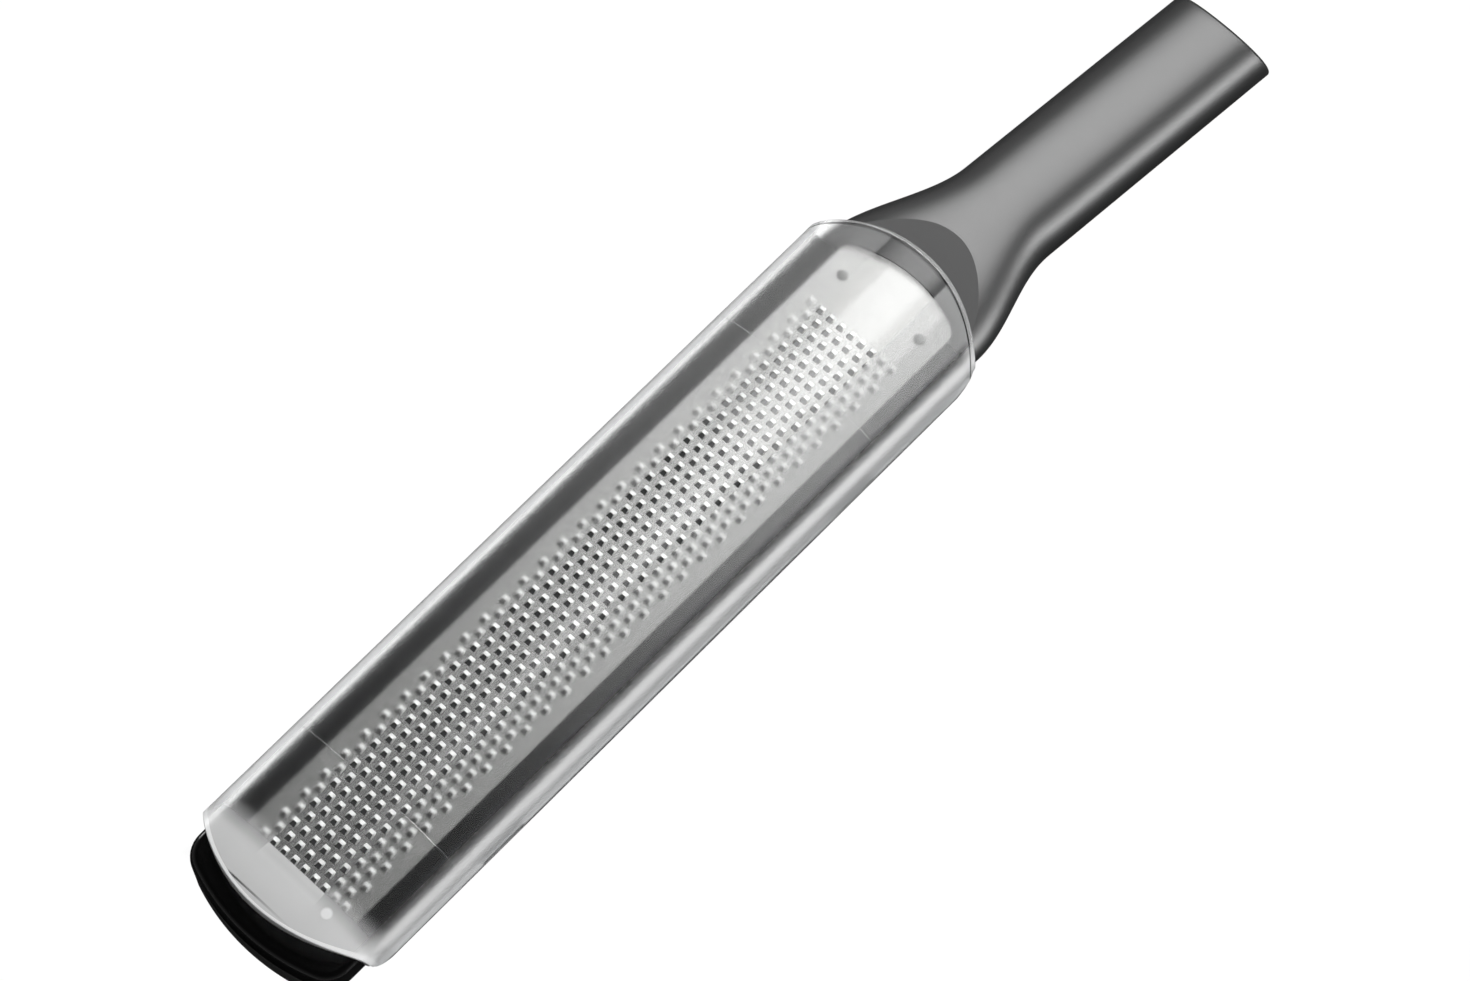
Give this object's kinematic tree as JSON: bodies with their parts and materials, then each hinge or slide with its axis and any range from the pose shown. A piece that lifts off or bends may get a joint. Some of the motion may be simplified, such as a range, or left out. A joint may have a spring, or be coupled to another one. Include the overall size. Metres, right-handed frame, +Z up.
{
  "type": "fine grater",
  "caption": "Long fine hand grater: perforated steel blade riveted in a plastic frame with a drooped oval handle, a rubber sole under the toe and a clear slide-on blade cover.",
  "frame": {"origin": "on the table, under the middle of the part's footprint", "axes": "+X along the grater from the toe towards the handle's end, +Z up, with the part lying on its sole and on the heel of its handle"},
  "size_m": [0.3718, 0.058, 0.0488],
  "materials": {
    "body_plastic": "satin moulded plastic, near black",
    "blade_steel": "fine satin stainless steel",
    "rivet_steel": "domed, satin",
    "sole_rubber": "fine-ribbed black rubber",
    "cover_clear": "clear plastic with lightly frosted sides"
  },
  "bodies": {
    "grater": {"frame": "body_plastic", "blade": "blade_steel", "rivet_front_left": "rivet_steel", "rivet_front_right": "rivet_steel", "rivet_rear_left": "rivet_steel", "rivet_rear_right": "rivet_steel", "foot_sole": "sole_rubber", "handle": "body_plastic", "handle_end_plug": "body_plastic"},
    "cover": {"cover": "cover_clear"}
  },
  "joints": [
    {"name": "cover_slide", "type": "slide", "parent": "grater", "child": "cover", "axis": [-0.9948, 0, -0.1016], "range_m": [0, 0.25]}
  ]
}
